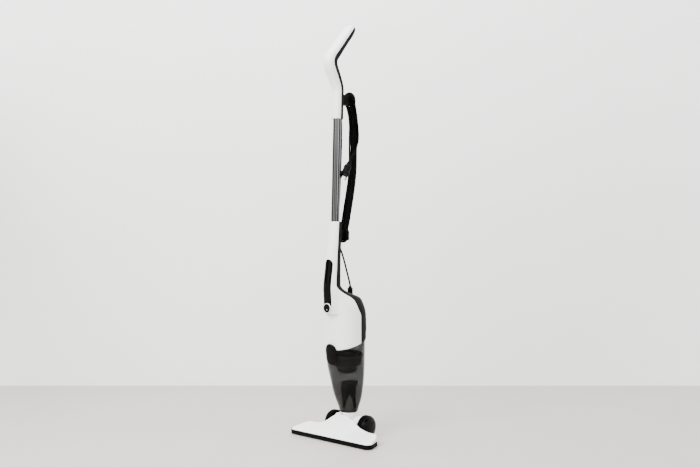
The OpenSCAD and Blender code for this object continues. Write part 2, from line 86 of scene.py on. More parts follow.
def finish_mesh(name, verts, faces, body, mat, angle=38, bevel=0.0, weld=True, seg=2):
    me = bpy.data.meshes.new(name)
    me.from_pydata([tuple(v) for v in verts], [], faces)
    me.validate()
    if weld:
        bm = bmesh.new(); bm.from_mesh(me)
        bmesh.ops.remove_doubles(bm, verts=bm.verts, dist=2e-6)
        bmesh.ops.recalc_face_normals(bm, faces=bm.faces)
        bm.to_mesh(me); bm.free()
    ob = bpy.data.objects.new(name, me)
    sc.collection.objects.link(ob)
    me.materials.append(mat)
    if bevel > 0:
        b = ob.modifiers.new("edge", "BEVEL")
        b.width = bevel; b.segments = seg; b.limit_method = "ANGLE"; b.angle_limit = rad(angle)
        bake(ob)
        me = ob.data
    me.shade_smooth()
    me.set_sharp_from_angle(angle=rad(angle))
    if body:
        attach(ob, body)
    return ob


def bake(ob):
    dg = bpy.context.evaluated_depsgraph_get()
    dg.update()
    new = bpy.data.meshes.new_from_object(ob.evaluated_get(dg))
    old = ob.data
    ob.modifiers.clear()
    ob.data = new
    new.name = ob.name
    bpy.data.meshes.remove(old)


def skin(O, I, wrap=False):
    """Closed skin between an outer and an inner grid of points."""
    m = len(O); n = len(O[0]); nn = n if wrap else n - 1; q = m * n
    v = [p for r in O for p in r] + [p for r in I for p in r]
    f = []
    for k in range(m - 1):
        for j in range(nn):
            a = k * n + j; b = k * n + (j + 1) % n
            f.append((a, b, b + n, a + n))
            f.append((q + a, q + a + n, q + b + n, q + b))
    for j in range(nn):
        a = j; b = (j + 1) % n
        f.append((a, a + q, b + q, b))
        a += (m - 1) * n; b += (m - 1) * n
        f.append((a, b, b + q, a + q))
    if not wrap:
        for k in range(m - 1):
            a = k * n; d = a + n
            f.append((a, d, d + q, a + q))
            a = k * n + n - 1; d = a + n
            f.append((a, a + q, d + q, d))
    return v, f


def solid_rings(R, cap=True):
    m = len(R); n = len(R[0])
    v = [p for r in R for p in r]; f = []
    for k in range(m - 1):
        for j in range(n):
            a = k * n + j; b = k * n + (j + 1) % n
            f.append((a, b, b + n, a + n))
    if cap:
        f.append(tuple(range(n - 1, -1, -1)))
        f.append(tuple(range((m - 1) * n, m * n)))
    return v, f


def lathe(name, prof, M, body, mat, n=64, angle=30, bevel=0.0, closed=False):
    """prof: list of (r, h) in mm turned about the local Z of matrix M (M in mm, row frame with Y0 added)."""
    v = []; f = []; m = len(prof)
    for (r, h) in prof:
        for j in range(n):
            t = 2 * math.pi * j / n
            p = M @ Vector((max(r, 1e-4) * cos(t), max(r, 1e-4) * sin(t), h))
            v.append((p.x / 1000, (p.y + Y0) / 1000, p.z / 1000))
    last = m if closed else m - 1
    for k in range(last):
        for j in range(n):
            a = k * n + j; b = k * n + (j + 1) % n; c = ((k + 1) % m) * n + (j + 1) % n; d = ((k + 1) % m) * n + j
            f.append((a, b, c, d))
    if not closed:
        f.append(tuple(range(n - 1, -1, -1)))
        f.append(tuple(range((m - 1) * n, m * n)))
    return finish_mesh(name, v, f, body, mat, angle=angle, bevel=bevel)


def MT(x, y, z, rx=0, ry=0, rz=0):
    return Matrix.Translation((x, y, z)) @ Matrix.Rotation(rad(rz), 4, "Z") @ Matrix.Rotation(rad(ry), 4, "Y") @ Matrix.Rotation(rad(rx), 4, "X")


def rounded_box(name, lo, hi, body, mat, bevel=0.001, M=None, seg=3):
    (x0, y0, z0), (x1, y1, z1) = lo, hi
    vs = [(x, y, z) for z in (z0, z1) for (x, y) in ((x0, y0), (x1, y0), (x1, y1), (x0, y1))]
    if M is not None:
        vs = [tuple(M @ Vector(p)) for p in vs]
    vs = [P(*p) for p in vs]
    fs = [(0, 3, 2, 1), (4, 5, 6, 7), (0, 1, 5, 4), (1, 2, 6, 5), (2, 3, 7, 6), (3, 0, 4, 7)]
    return finish_mesh(name, vs, fs, body, mat, bevel=bevel, seg=seg)


def prism(name, poly, h0, h1, M, body, mat, bevel=0.0005, angle=38, seg=2):
    """poly: 2-D outline in mm, swept along local Z of M from h0 to h1."""
    n = len(poly)
    vs = [tuple(M @ Vector((x, y, h0))) for x, y in poly] + [tuple(M @ Vector((x, y, h1))) for x, y in poly]
    vs = [P(*p) for p in vs]
    fs = [tuple(range(n - 1, -1, -1)), tuple(range(n, 2 * n))] + [(i, (i + 1) % n, n + (i + 1) % n, n + i) for i in range(n)]
    return finish_mesh(name, vs, fs, body, mat, bevel=bevel, angle=angle, seg=seg)


# ------------------------------------------------------------------ materials


def material(name, color, rough=0.4, metallic=0.0, coat=0.0, coat_rough=0.1, noise=180.0, rough_var=0.06, bump=0.02,
             bump_scale=900.0, vary=0.04, ior=1.5, sheen=0.0, kind="plastic", alpha=1.0, spec=0.5, wear=0.0):
    m = bpy.data.materials.new(name)
    m.use_nodes = True
    nt = m.node_tree; N = nt.nodes; L = nt.links
    b = N["Principled BSDF"]
    b.inputs["Metallic"].default_value = metallic
    b.inputs["IOR"].default_value = ior
    b.inputs["Coat Weight"].default_value = coat
    b.inputs["Coat Roughness"].default_value = coat_rough
    b.inputs["Specular IOR Level"].default_value = spec
    if sheen:
        b.inputs["Sheen Weight"].default_value = sheen
    if alpha < 1:
        b.inputs["Alpha"].default_value = alpha
    tc = N.new("ShaderNodeTexCoord")
    n1 = N.new("ShaderNodeTexNoise"); n1.inputs["Scale"].default_value = noise; n1.inputs["Detail"].default_value = 4
    L.new(tc.outputs["Object"], n1.inputs["Vector"])
    # colour variation
    cr = N.new("ShaderNodeValToRGB")
    lo = [c * (1 - vary) for c in color]; hi = [min(1, c * (1 + vary)) for c in color]
    cr.color_ramp.elements[0].position = 0.3; cr.color_ramp.elements[0].color = (*lo, 1)
    cr.color_ramp.elements[1].position = 0.7; cr.color_ramp.elements[1].color = (*hi, 1)
    L.new(n1.outputs["Fac"], cr.inputs["Fac"])
    col = cr.outputs["Color"]
    if wear:
        gm = N.new("ShaderNodeNewGeometry")
        wr = N.new("ShaderNodeValToRGB")
        wr.color_ramp.elements[0].position = 0.56; wr.color_ramp.elements[0].color = (0, 0, 0, 1)
        wr.color_ramp.elements[1].position = 0.72; wr.color_ramp.elements[1].color = (wear, wear, wear, 1)
        L.new(gm.outputs["Pointiness"], wr.inputs["Fac"])
        mx = N.new("ShaderNodeMixRGB"); mx.blend_type = "ADD"; mx.inputs["Fac"].default_value = 1
        L.new(col, mx.inputs["Color1"]); L.new(wr.outputs["Color"], mx.inputs["Color2"])
        col = mx.outputs["Color"]
    L.new(col, b.inputs["Base Color"])
    # roughness variation: soft handling marks
    n2 = N.new("ShaderNodeTexNoise"); n2.inputs["Scale"].default_value = 35; n2.inputs["Detail"].default_value = 6
    L.new(tc.outputs["Object"], n2.inputs["Vector"])
    mr = N.new("ShaderNodeMapRange")
    mr.inputs["To Min"].default_value = max(0.02, rough - rough_var); mr.inputs["To Max"].default_value = min(1, rough + rough_var)
    L.new(n2.outputs["Fac"], mr.inputs["Value"]); L.new(mr.outputs["Result"], b.inputs["Roughness"])
    # fine surface
    if kind == "rib":
        w = N.new("ShaderNodeTexWave"); w.inputs["Scale"].default_value = bump_scale; w.wave_type = "BANDS"; w.bands_direction = "Z"
        L.new(tc.outputs["Object"], w.inputs["Vector"]); h = w.outputs["Fac"]
    elif kind == "weave":
        w1 = N.new("ShaderNodeTexWave"); w1.inputs["Scale"].default_value = bump_scale; w1.bands_direction = "X"
        w2 = N.new("ShaderNodeTexWave"); w2.inputs["Scale"].default_value = bump_scale; w2.bands_direction = "Z"
        L.new(tc.outputs["Object"], w1.inputs["Vector"]); L.new(tc.outputs["Object"], w2.inputs["Vector"])
        ma = N.new("ShaderNodeMath"); ma.operation = "MULTIPLY"
        L.new(w1.outputs["Fac"], ma.inputs[0]); L.new(w2.outputs["Fac"], ma.inputs[1]); h = ma.outputs[0]
    elif kind == "brushed":
        mp = N.new("ShaderNodeMapping"); mp.inputs["Scale"].default_value = (1, 1, 0.02)
        n3 = N.new("ShaderNodeTexNoise"); n3.inputs["Scale"].default_value = bump_scale; n3.inputs["Detail"].default_value = 3
        L.new(tc.outputs["Object"], mp.inputs["Vector"]); L.new(mp.outputs["Vector"], n3.inputs["Vector"]); h = n3.outputs["Fac"]
    else:
        n3 = N.new("ShaderNodeTexNoise"); n3.inputs["Scale"].default_value = bump_scale; n3.inputs["Detail"].default_value = 3
        L.new(tc.outputs["Object"], n3.inputs["Vector"]); h = n3.outputs["Fac"]
    bp = N.new("ShaderNodeBump"); bp.inputs["Strength"].default_value = bump; bp.inputs["Distance"].default_value = 0.0004
    L.new(h, bp.inputs["Height"]); L.new(bp.outputs["Normal"], b.inputs["Normal"])
    return m


white = material("white_moulding", (0.84, 0.845, 0.835), rough=0.3, coat=0.12, coat_rough=0.12, bump=0.03, bump_scale=1400, vary=0.012, rough_var=0.05, spec=0.4)
dark = material("dark_grey_moulding", (0.0085, 0.0085, 0.0081), rough=0.5, coat=0.0, bump=0.03, bump_scale=1200, vary=0.15, spec=0.02)
black = material("black_moulding", (0.0016, 0.0016, 0.0016), rough=0.45, bump=0.12, bump_scale=2200, vary=0.2, spec=0.05)
gloss = material("black_gloss", (0.0010, 0.0010, 0.0010), rough=0.16, bump=0.015, bump_scale=900, vary=0.2, spec=0.07)
grey = material("grey_moulding", (0.10, 0.10, 0.096), rough=0.5, bump=0.08, bump_scale=1800, vary=0.08, spec=0.2)
pipe_m = material("grey_pipe", (0.42, 0.42, 0.41), rough=0.45, bump=0.08, bump_scale=1800, vary=0.06, spec=0.2)
rubber = material("soft_rubber", (0.0014, 0.0014, 0.0014), rough=0.6, bump=0.2, bump_scale=2600, vary=0.25, spec=0.05)
tyre_m = material("tyre_rubber", (0.0010, 0.0010, 0.0010), rough=0.55, bump=0.2, bump_scale=2400, vary=0.2, spec=0.02)
metal = material("pole_steel", (0.11, 0.11, 0.11), rough=0.12, metallic=1.0, kind="brushed", bump=0.03, bump_scale=1600, vary=0.03, rough_var=0.03)
steel = material("turned_steel", (0.5, 0.51, 0.52), rough=0.3, metallic=1.0, kind="rib", bump=0.1, bump_scale=700, vary=0.05)
alloy = material("pressed_alloy", (0.6, 0.61, 0.62), rough=0.36, metallic=1.0, bump=0.1, bump_scale=1500, vary=0.05)
ringm = material("satin_silver", (0.82, 0.83, 0.83), rough=0.3, metallic=0.35, bump=0.05, bump_scale=1500, vary=0.03)
copper = material("copper_winding", (0.45, 0.2, 0.09), rough=0.4, metallic=0.9, kind="rib", bump=0.5, bump_scale=500, vary=0.1)
cordm = material("cable_sheath", (0.0009, 0.0009, 0.0009), rough=0.5, bump=0.06, bump_scale=1800, vary=0.25, spec=0.03)
brass = material("pin_plating", (0.16, 0.15, 0.12), rough=0.3, metallic=1.0, bump=0.05, bump_scale=1500, vary=0.05)
filt = material("filter_medium", (0.36, 0.36, 0.35), rough=0.9, kind="weave", bump=0.5, bump_scale=420, vary=0.1, spec=0.1)
foam = material("filter_foam", (0.5, 0.5, 0.51), rough=0.95, bump=0.7, bump_scale=700, vary=0.12)
bristle = material("bristles", (0.01, 0.01, 0.011), rough=0.7, bump=0.3, bump_scale=1500, vary=0.3, spec=0.1)
felt = material("felt", (0.12, 0.12, 0.124), rough=0.95, bump=0.5, bump_scale=1600, vary=0.15, spec=0.1)
smoke = material("smoke_clear", (0.0052, 0.0054, 0.0046), rough=0.08, bump=0.01, bump_scale=300, vary=0.05, rough_var=0.03, alpha=0.575, spec=0.05)

# ------------------------------------------------------------------ cord
COIL_D = 0.005
lead = [(0, 20, 400), (-0.4, 18.6, 409), (-1.6, 14.5, 424), (-3.6, 8.5, 446), (-6, 2, 470), (-8.5, -6, 494), (-11, -15, 512),
        (-13, -22, 526), (-13.5, -24, 540), (-12, -23, 556), (-10, -20, 578), (-8, -17, 610), (-7, -14, 660), (-7, -11, 710),
        (-7, -8, 770), (-8, -6, 820), (-10, -4.5, 850), (-12.6, -1.5, 870)]
TOPZ, BOTZ = 899.0, 536.0


def arch(r0, y0, r1, y1, zc, up, n=14):
    """Half turn round a hook: from x=-r0 to x=+r1 over the top, or from +r0 to -r1 under the bottom."""
    out = []
    for i in range(n + 1):
        t = i / n; a = math.pi * t
        r = r0 + (r1 - r0) * t; y = y0 + (y1 - y0) * t
        out.append((-r * cos(a), y, zc + r * sin(a)) if up else (r * cos(a), y, zc - r * sin(a)))
    return out


def strand(x_end0, y_top, xm, dy, x_end1, y_bot, seed, down=True):
    """One run between the folds; the bundle is pinched together in the middle."""
    rnd = random.Random(seed)
    a, b = rnd.uniform(0, 6), rnd.uniform(0, 6)

    def w(z, s):
        return 1.0 * math.sin(z / 37.0 + s) * math.sin(math.pi * (z - 570) / 285.0) if 570 < z < 855 else 0
    zs = [890, 883, 878, 873, 868, 860, 848, 830, 808, 785, 762, 738, 712, 685, 655, 625, 602, 586, 574, 566, 561, 556, 551, 546]
    pts = []
    for z in zs:
        yc = float(np.interp(z, [545, 558, 572, 600, 700, 725, 835, 858, 874, 884, 899], [-8, -3.5, 1.0, 7.4, 29.0, 32.0, 32.4, 28.5, 22.5, 18.5, 16.5]))
        k = min(max((z - 880) / 8.0, 0), 1) if z > 700 else min(max((552 - z) / 8.0, 0), 1)
        k = k * k * (3 - 2 * k)
        xe = x_end0 if z > 700 else x_end1
        ye = (y_top - 16.5) if z > 700 else (y_bot + 10)
        x = xm * (1 - k) + xe * k
        y = yc + dy * (1 - k) + ye * k
        pts.append((x + w(z, a), y + w(z, b), z))
    return pts if down else pts[::-1]


lay = [(11.8, 12.0), (11.8, 17.3), (17.2, 12.4), (17.2, 18.0)]      # fold radius and place along the hook
bot = [(11.6, -7.2), (11.6, -12.6), (17.0, -7.4), (17.0, -12.9)]
mid_r = [(7.0, -5.9), (7.2, 0.1), (6.8, 6.0), (0.2, 5.9)]
mid_l = [(-6.8, -5.9), (-7.2, 0.1), (-6.8, 6.0), (0.0, -5.9)]
path = list(lead)
path += [(-13.6, 3.0, 886), (-12.6, 6.4, 893)]
for k in range(4):
    r, y = lay[k]
    if k == 0:
        path += arch(11.8, 7.4, r, y, TOPZ, True)[1:]
    else:
        pr, py = lay[k - 1]
        path += arch(pr, py, r, y, TOPZ, True)
    path += strand(r, y, mid_r[k][0], mid_r[k][1], bot[k][0], bot[k][1], 10 + k, True)
    path += arch(bot[k][0], bot[k][1], bot[k][0], bot[k][1], BOTZ, False)
    path += strand(-r, y, mid_l[k][0], mid_l[k][1], -bot[k][0], bot[k][1], 30 + k, False)
path += arch(lay[3][0], lay[3][1], 12.4, 22.4, TOPZ, True)
path += [(12.6, 24.6, 886), (12.4, 28.0, 872), (12.3, 31.6, 858), (12.4, 34.4, 842), (12.7, 36.6, 824), (12.7, 38.4, 806), (12.5, 37.6, 790),
         (11.8, 32.6, 774), (10.4, 25.6, 760), (9.8, 17.8, 747), (9.1, 11.0, 736.8)]


def smooth_line(pts, step=2.5):
    """Centripetal Catmull-Rom through the points, resampled evenly."""
    p = [np.array(q, float) for q in pts]
    p = [2 * p[0] - p[1]] + p + [2 * p[-1] - p[-2]]
    dense = []
    for i in range(1, len(p) - 2):
        p0, p1, p2, p3 = p[i - 1], p[i], p[i + 1], p[i + 2]
        t0 = 0; t1 = t0 + max(np.linalg.norm(p1 - p0), 1e-3)**0.5; t2 = t1 + max(np.linalg.norm(p2 - p1), 1e-3)**0.5
        t3 = t2 + max(np.linalg.norm(p3 - p2), 1e-3)**0.5
        for s in range(10):
            t = t1 + (t2 - t1) * s / 10
            a1 = (t1 - t) / (t1 - t0) * p0 + (t - t0) / (t1 - t0) * p1
            a2 = (t2 - t) / (t2 - t1) * p1 + (t - t1) / (t2 - t1) * p2
            a3 = (t3 - t) / (t3 - t2) * p2 + (t - t2) / (t3 - t2) * p3
            b1 = (t2 - t) / (t2 - t0) * a1 + (t - t0) / (t2 - t0) * a2
            b2 = (t3 - t) / (t3 - t1) * a2 + (t - t1) / (t3 - t1) * a3
            dense.append((t2 - t) / (t2 - t1) * b1 + (t - t1) / (t2 - t1) * b2)
    dense.append(p[-2])
    d = np.array(dense)
    for _ in range(6):                       # takes the kinks out
        d[1:-1] = 0.25 * d[:-2] + 0.5 * d[1:-1] + 0.25 * d[2:]
    L = np.concatenate([[0], np.cumsum(np.linalg.norm(np.diff(d, axis=0), axis=1))])
    n = int(L[-1] / step)
    t = np.linspace(0, L[-1], n + 1)
    return np.stack([np.interp(t, L, d[:, k]) for k in range(3)], 1), L[-1]


line, cord_len = smooth_line(path)
cu = bpy.data.curves.new("mains_cord", "CURVE")
cu.dimensions = "3D"
sp = cu.splines.new("POLY")
sp.points.add(len(line) - 1)
for i, q in enumerate(line):
    x, y, z = P(*q)
    sp.points[i].co = (x, y, z, 1)
cu.bevel_depth = COIL_D / 2
cu.bevel_resolution = 4
cu.use_fill_caps = True
cord_ob = bpy.data.objects.new("mains_cord", cu)
sc.collection.objects.link(cord_ob)
cu.materials.append(cordm)
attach(cord_ob, "upright")
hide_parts("power_cord", "cord_hank")
print("cord length", cord_len)

# gland: ribbed, tapered strain relief
gp = [(0, -8), (7.4, -8), (7.4, 9.6), (6.9, 10.2), (6.9, 11.0), (7.4, 11.6), (7.4, 13.4), (6.9, 14.0), (6.9, 14.8), (7.4, 15.4), (7.4, 18.4), (6.6, 19.5), (5.2, 20.2),
      (4.6, 21.4), (4.6, 22.2), (3.9, 22.8), (3.6, 24), (0, 24)]
gland = lathe("cord_strain_relief", gp, MT(0, 20, 376), "upright", rubber, n=40, angle=30)
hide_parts("cord_gland")
# plug
PM = MT(9, -4, 711, rx=-30)
pp = [(0, -17), (10.8, -17), (11.8, -16.2), (12, -15), (12, -11.5), (11.4, -10.4), (10.6, -9.6), (10.2, -6), (9.9, 0), (10.3, 6), (9.8, 9.4), (8.6, 10.8)]
z = 11.2
for i in range(6):
    r = 7.4 - 0.62 * i
    pp += [(r, z), (r, z + 1.7), (r - 0.8, z + 1.9), (r - 0.8, z + 2.6)]
    z += 2.7
pp += [(3.0, 27.6), (2.8, 28), (0, 28)]
plug = lathe("mains_plug", pp, PM, "upright", black, n=48, angle=30)
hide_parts("plug_body")
for i, s in enumerate((-1, 1)):
    pin = lathe("plug_pin_%d" % i, [(0, -35), (1.2, -35), (1.9, -34.4), (2.3, -33.2), (2.3, -27.05), (0, -27.05)], PM @ MT(s * 9.2, 0, 0), "upright", brass, n=24)
    sleeve = lathe("pin_sleeve_%d" % i, [(0, -27), (2.3, -27), (2.4, -26.6), (2.4, -17.05), (0, -17.05)], PM @ MT(s * 9.2, 0, 0), "upright", black, n=24)
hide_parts("plug_pins")

# ------------------------------------------------------------------ body outline, as in the CAD but smooth
BR = 54.0
bw = pchip([230, 325, 340, 352, 364, 376, 386, 396, 406, 450, 505, 575], [BR, BR, 53, 51, 47, 40, 32, 25.5, 21.5, 19.8, 18.6, 17.6])
bf = pchip([230, 325, 345, 364, 384, 404, 450, 505, 550, 575], [-54, -54.5, -56, -59, -65, -74.5, -68.5, -62, -56, -53.5])
br = pchip([230, 322, 336, 350, 360, 366, 371, 376, 381, 387, 396, 406, 450, 490, 515, 575], [54, 54, 52, 47, 43.5, 41, 37, 26, 11, -6, -23, -29.6, -29.4, -28.6, -26.8, -26])
spd = pchip([230, 327.5, 333.0, 347, 364, 384, 404, 575], [0, 0, 13.0, 14.5, 12.5, 8, 0, 0])
slope = pchip([230, 256, 318, 600], [0.29, 0.29, 0, 0])
part_at = pchip([230, 322, 345, 366, 381, 410, 600], [92, 92, 87, 84, 80, 77, 77])


def spw(v, p):
    return math.copysign(abs(v)**p, v)


def body_pt(t, z, ins):
    t = rad(t)
    f = bf(z) + ins; r = br(z) - ins; w = bw(z) - ins; c = (f + r) / 2; h = (r - f) / 2
    x = w * spw(sin(t), 2 / 2.2); y = c - h * spw(cos(t), 2 / 2.2)
    if cos(t) > 0:
        y -= spd(z) / (1 + (abs(x) / (17.5 - ins))**8)
    return (x, y, z + slope(z) * y)


def body_y(x, z, ins=0):
    f = bf(z) + ins; r = br(z) - ins; w = bw(z) - ins; c = (f + r) / 2; h = (r - f) / 2
    return c - h * max(0, 1 - min(1, abs(x) / w)**2.2)**(1 / 2.2) - spd(z) / (1 + (abs(x) / 17.5)**8)


def body_zs():
    zs = list(np.arange(252.5, 324, 5)) + list(np.arange(325, 337, 1.0)) + list(np.arange(338, 412, 1.6)) + list(np.arange(414, 572, 6)) + [572.0]
    return zs


def t_list(a, b, n, front):
    """Angles packed closer near the nose, where the spine is."""
    if not front:
        return [a + (b - a) * j / n for j in range(n + 1)]
    out = []
    for j in range(n + 1):
        u = -1 + 2 * j / n
        out.append(b * (0.62 * u + 0.38 * u**3))
    return out


def body_half(name, front, n, mat):
    O, I = [], []
    for z in body_zs():
        a = part_at(z)
        t0, t1 = (-a, a) if front else (a + 0.35, 360 - a - 0.35)
        ts = t_list(t0, t1, n, front)
        O.append([P(*body_pt(t, z, 0)) for t in ts])
        I.append([P(*body_pt(t, z, 2.4)) for t in ts])
    v, f = skin(O, I)
    return finish_mesh(name, v, f, "upright", mat, angle=42, bevel=0.0006)


def cut(ob, cutter):
    b = ob.modifiers.new("cut", "BOOLEAN"); b.operation = "DIFFERENCE"; b.object = cutter; b.solver = "EXACT"
    bake(ob)
    bpy.data.objects.remove(cutter)
    ob.data.shade_smooth(); ob.data.set_sharp_from_angle(angle=rad(36))


body_front = body_half("body_front", True, 96, white)
c = lathe("cutter", [(0, 0), (11.4, 0), (11.4, 30), (0, 30)], MT(0, -60, 347, rx=90), None, white, n=64)
cut(body_front, c)
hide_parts("body_front_shell")
body_rear = body_half("body_rear", False, 64, dark)
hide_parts("body_rear_shell")

# capsule inlay on the neck, with a fine rim
IW, IZ1, RO = 13.4, 474.0, 13.6


def inlay_mesh():
    O, I = [], []
    for k in range(61):
        ro, ri = [], []
        for j in range(-20, 21):
            x = (IW - 0.1) * sin(rad(j * 4.5))
            lo = 347 + math.sqrt(max(4, RO**2 - x * x))
            hi = IZ1 - IW + math.sqrt(max(0, IW * IW - x * x))
            z = lo + (hi - lo) * k / 60
            dx = IW - abs(x) if z < IZ1 - IW else IW - math.hypot(x, z - IZ1 + IW)
            dome = 0.5 * max(0.0, 1 - dx / 1.3)**2
            ro.append(P(x, body_y(x, z) - 1.05 + dome, z)); ri.append(P(x, body_y(x, z) - 0.15, z))
        O.append(ro); I.append(ri)
    v, f = skin(O, I)
    return finish_mesh("neck_inlay", v, f, "upright", gloss, angle=50)


inlay = inlay_mesh()
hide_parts("control_inlay")

# power button with a dished face and its ring
BM = MT(0, 0, 347, rx=90)
btn = lathe("button_cap", [(0, 65.5), (11, 65.5), (11, 72.6), (10.6, 73.2), (9.8, 73.4), (8.6, 73.1), (5, 72.5), (0, 72.3)], BM, "button", gloss, n=64)
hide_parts("power_button")
ring = lathe("button_trim", [(11.4, 70.0), (13.3, 70.0), (13.3, 72.1), (12.9, 72.7), (12.3, 72.95), (11.7, 72.8), (11.4, 72.4)], BM, "upright", ringm, n=72, closed=True)
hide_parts("button_ring")
# tiny satin-silver ring low on the button face: a painted highlight where a glint falls, not a printed mark
painted_highlight_dot = lathe("button_painted_highlight", [(0.7, 72.3), (1.2, 72.35), (1.2, 72.72), (0.7, 72.6)], MT(0.8, 0, 343, rx=90), "button", ringm, n=48, closed=True)

# exhaust louvres on the rear shell
for side in (0, 1):
    for k in range(6):
        z0, z1 = 276 + k * 7, 280 + k * 7
        t0, t1 = (112, 168) if side == 0 else (192, 248)
        O, I = [], []
        for q in range(9):
            zz = z0 + (z1 - z0) * q / 8
            e = 1.15 * math.sin(math.pi * q / 8)**0.5 if 0 < q < 8 else 0.0
            ro, ri = [], []
            for j in range(25):
                u = j / 24; ed = min(1, min(u, 1 - u) * 9)**0.5
                t = t0 + (t1 - t0) * u
                ro.append(P(*body_pt(t, zz, -0.05 - e * ed))); ri.append(P(*body_pt(t, zz, 0.5)))
            O.append(ro); I.append(ri)
        v, f = skin(O, I)
        finish_mesh("louvre_%d_%d" % (side, k), v, f, "upright", black, angle=50)
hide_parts("vent_grille")

# ------------------------------------------------------------------ handle
hs = [(-31.8, 842, 1.8, 14.5, 14.2), (-30.5, 880, 1.8, 14.5, 14.2), (-29.4, 914, 1.8, 14.6, 14.4), (-31.5, 928, -13, 14.8, 15.2), (-38.5, 944, -27, 15.2, 15.8),
      (-48.5, 962, -28, 15.8, 16.8), (-56.5, 977, -14, 16.2, 17.8), (-58.8, 988, 8, 16.4, 18), (-55, 1000, 30, 16.4, 17.2), (-44, 1013, 39, 16.3, 16),
      (-26, 1034, 40.5, 16.3, 14.8), (-8, 1055, 40.5, 16, 14.2), (6.5, 1071, 40, 15.6, 13.8), (17.5, 1084, 39, 14.8, 12.8), (23.2, 1091, 38, 12.8, 10.6),
      (26.2, 1094.6, 38, 9.4, 7.6), (27.8, 1096.6, 38, 5.4, 4.4), (28.4, 1097.3, 38, 1.4, 1.2)]
kk = list(range(len(hs)))
hsf = [pchip(kk, [s[i] for s in hs]) for i in range(5)]


def h_pt(s, t, ins):
    y, z, a, w, h = s
    b = ins * max(0, min(1, (z - 1080) / 12)); a = rad(a); t = rad(t)
    w = max(0.5, w - ins); h = max(0.5, h - ins)
    x = w * spw(sin(t), 2 / 2.7); q = -h * spw(cos(t), 2 / 2.7)
    return (x, y + q * cos(a) - b * sin(a), z - q * sin(a) - b * cos(a))


def handle_half(name, t0, t1, n, mat):
    O, I = [], []
    for q in np.arange(0, len(hs) - 1 + 1e-6, 0.2):
        s = [g(q) for g in hsf]
        ts = [t0 + (t1 - t0) * j / n for j in range(n + 1)]
        O.append([P(*h_pt(s, t, 0)) for t in ts]); I.append([P(*h_pt(s, t, 2)) for t in ts])
    v, f = skin(O, I)
    return finish_mesh(name, v, f, "upright", mat, angle=44, bevel=0.0005)


hf = handle_half("handle_front", -86, 86, 56, white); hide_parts("handle_front_shell")
hr = handle_half("handle_rear", 86.5, 360 - 86.5, 56, dark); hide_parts("handle_rear_shell")

# pole, a thin tube with rolled ends
PL = MT(0, -40, 572, rx=-1.8) @ MT(0, 0, -36)
pole = lathe("metal_pole", [(10, 0), (10.7, 0), (11, 0.4), (11, 355.6), (10.7, 356), (10, 356)], PL, "upright", metal, n=96, closed=True)
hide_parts("pole")

# ------------------------------------------------------------------ cup
cr_ = pchip([66, 76, 84, 98, 121, 161, 196, 240, 300], [24.6, 26.5, 29, 34, 39.6, 46, 50, 52.8, 53.4])
cc_ = pchip([66, 84, 98, 121, 161, 196, 240, 300], [14.5, 14.6, 13.6, 11, 7.6, 3.6, 0.3, 0])


def cup_pt(t, z, ins):
    r = cr_(z) - ins; c = cc_(z); y = c - r * cos(rad(t))
    sl = 0.29 * min(max((z - 140) / 110.0, 0), 1)
    return (r * sin(rad(t)), y, z + sl * y)


O, I = [], []
zs = [68.0, 68.3, 69.2] + list(np.arange(71, 250, 4.5)) + [250.0, 250.8]
for k, z in enumerate(zs):
    e = [1.6, 0.7, 0.15][k] if k < 3 else 0
    O.append([P(*cup_pt(j * 3.75, z, e)) for j in range(96)])
    if k == 0:
        I.append([P(19.3 * sin(rad(j * 3.75)), 14 - 19.3 * cos(rad(j * 3.75)), 68) for j in range(96)])
    elif k == 1:
        I.append([P(19.3 * sin(rad(j * 3.75)), 14 - 19.3 * cos(rad(j * 3.75)), 71.4) for j in range(96)])
    else:
        I.append([P(*cup_pt(j * 3.75, max(z, 71.6), 2.0)) for j in range(96)])
v, f = skin(O, I, True)
cup = finish_mesh("clear_cup", v, f, "upright", smoke, angle=50)
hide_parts("dust_cup")

# latch: capsule with a raised grip line, hinged at its top
LM = MT(0, -57, 241, rx=8)


def latch_pad():
    zt, zb, hw = 12.7, -43.5, 17.5
    rows = [zb + hw * (1 - cos(rad(90) * q / 16)) for q in range(17)] + list(np.arange(zb + hw + 1.5, zt - hw - 1, 1.5)) + [zt - hw * (1 - cos(rad(90) * (16 - q) / 16)) for q in range(17)]
    O, I = [], []
    for z in rows:
        d = min(z - zb, zt - z)
        h = hw if d >= hw else math.sqrt(max(0.0, hw**2 - (hw - d)**2))
        h = max(h, 0.15)
        ro, ri = [], []
        for j in range(-24, 25):
            x = h * sin(rad(j * 3.75))
            if zb + hw <= z <= zt - hw:
                dd = hw - abs(x)
            else:
                zc = zb + hw if z < zb + hw else zt - hw
                dd = hw - math.hypot(x, z - zc)
            dome = 1.5 * max(0.0, 1 - max(dd, 0) / 2.4)**2.2
            yo = 53.9 - math.sqrt(58.6**2 - x * x) + dome
            yi = 53.9 - math.sqrt(54.8**2 - x * x)
            ro.append(P(*(LM @ Vector((x, yo, z))))); ri.append(P(*(LM @ Vector((x, yi, z)))))
        O.append(ro); I.append(ri)
    v, f = skin(O, I)
    return finish_mesh("latch_pad", v, f, "latch", gloss, angle=48)


def cap2(rw, z0, z1, n=20):
    pts = []
    for i in range(n + 1):
        a = math.pi * i / n
        pts.append((rw * cos(a), z1 + rw * sin(a)))
    for i in range(n + 1):
        a = math.pi + math.pi * i / n
        pts.append((rw * cos(a), z0 + rw * sin(a)))
    return pts


latch = latch_pad()
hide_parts("cup_latch")
for s in (-1, 1):
    lathe("latch_knuckle_%s" % ("l" if s < 0 else "r"), [(1.25, -1.9), (2.6, -1.9), (2.6, 1.9), (1.25, 1.9)], LM @ MT(s * 9.4, 0, 0, ry=90), "latch", gloss, n=28, closed=True)
for i in range(3):
    prism("latch_grip_%d" % i, cap2(0.55, -5, 5, 8), 4.3, 5.1, LM @ MT(0, 0, -31 - i * 3.4, rx=90) @ MT(0, 0, 0, rz=90), "latch", gloss, bevel=0.0002)

